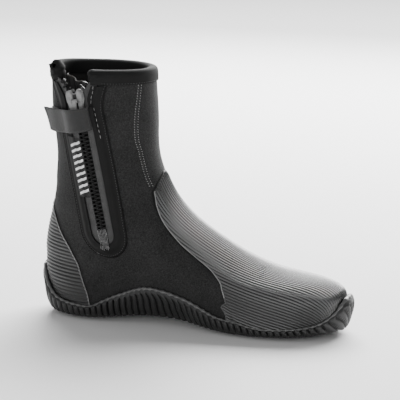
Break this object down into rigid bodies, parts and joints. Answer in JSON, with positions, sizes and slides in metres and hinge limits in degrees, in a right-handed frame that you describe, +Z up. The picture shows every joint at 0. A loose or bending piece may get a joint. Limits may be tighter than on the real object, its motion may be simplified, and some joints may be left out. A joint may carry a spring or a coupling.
{
  "type": "neoprene boot",
  "caption": "Ankle-high neoprene water-sports boot with a ribbed rubber sole, ribbed rubber toe and heel, a side zip and a hook-and-loop tab that covers the slider.",
  "frame": {"origin": "on the floor, under the middle of the boot's bounding box", "axes": "+X to the toe, +Z up, -Y to the inner side of the foot, where the zip is"},
  "size_m": [0.2948, 0.103, 0.2329],
  "materials": {
    "neoprene": "fine knitted face, matt",
    "sole_rubber": "matt",
    "rand_rubber": "semi-matt, ribbed",
    "overlay_rubber": "semi-gloss, ribbed",
    "board": "pressed fibre, matt",
    "footbed_foam": "matt foam with a cloth top",
    "lining": "brushed plush",
    "binding": "smooth woven elastic",
    "placket_rubber": "smooth, satin",
    "gusset_cloth": "smooth coated cloth",
    "zip_tape": "woven",
    "zip_plastic": "moulded, satin",
    "reflective": "reflective film printed in slanted bars",
    "loop_pile": "brushed loops",
    "webbing": "woven",
    "slider_metal": "light grey, satin",
    "grip_rubber": "matt",
    "hook_tape": "moulded hooks on woven tape"
  },
  "bodies": {
    "boot": {"outsole_plate": "sole_rubber", "tread_lugs": "sole_rubber", "sidewall_rand": "rand_rubber", "insole_board": "board", "footbed": "footbed_foam", "forefoot_panel": "neoprene", "shin_panel": "neoprene", "medial_quarter": "neoprene", "lateral_quarter": "neoprene", "medial_back_panel": "neoprene", "toe_vamp": "overlay_rubber", "heel_counter": "overlay_rubber", "lining_foot": "lining", "lining_shaft": "lining", "collar_binding": "binding", "zip_placket": "placket_rubber", "zip_gusset": "gusset_cloth", "zip_tape_front": "zip_tape", "zip_tape_rear": "zip_tape", "zip_teeth_front": "zip_plastic", "zip_teeth_rear": "zip_plastic", "zip_top_stops": "zip_plastic", "zip_bottom_stop": "zip_plastic", "reflective_strip": "reflective", "loop_patch": "loop_pile", "tab_anchor": "webbing"},
    "slider": {"slider_front_plate": "slider_metal", "slider_back_plate": "slider_metal", "slider_pin": "slider_metal"},
    "pull": {"pull_link": "slider_metal", "pull_grip": "grip_rubber"},
    "tab": {"tab_webbing": "webbing", "tab_hook_patch": "hook_tape"}
  },
  "joints": [
    {"name": "slider_travel", "type": "slide", "parent": "boot", "child": "slider", "axis": [0.1772, 0.0329, -0.9836], "range_m": [0, 0.113]},
    {"name": "pull_swing", "type": "hinge", "parent": "slider", "child": "pull", "pos_m": [-0.09855, -0.04668, 0.20348], "axis": [-0.9804, 0.0932, -0.1735], "range_deg": [0, 5]},
    {"name": "tab_open", "type": "hinge", "parent": "boot", "child": "tab", "pos_m": [-0.08281, -0.04441, 0.17793], "axis": [-0.1816, -0.0428, 0.9825], "range_deg": [0, 72]}
  ]
}
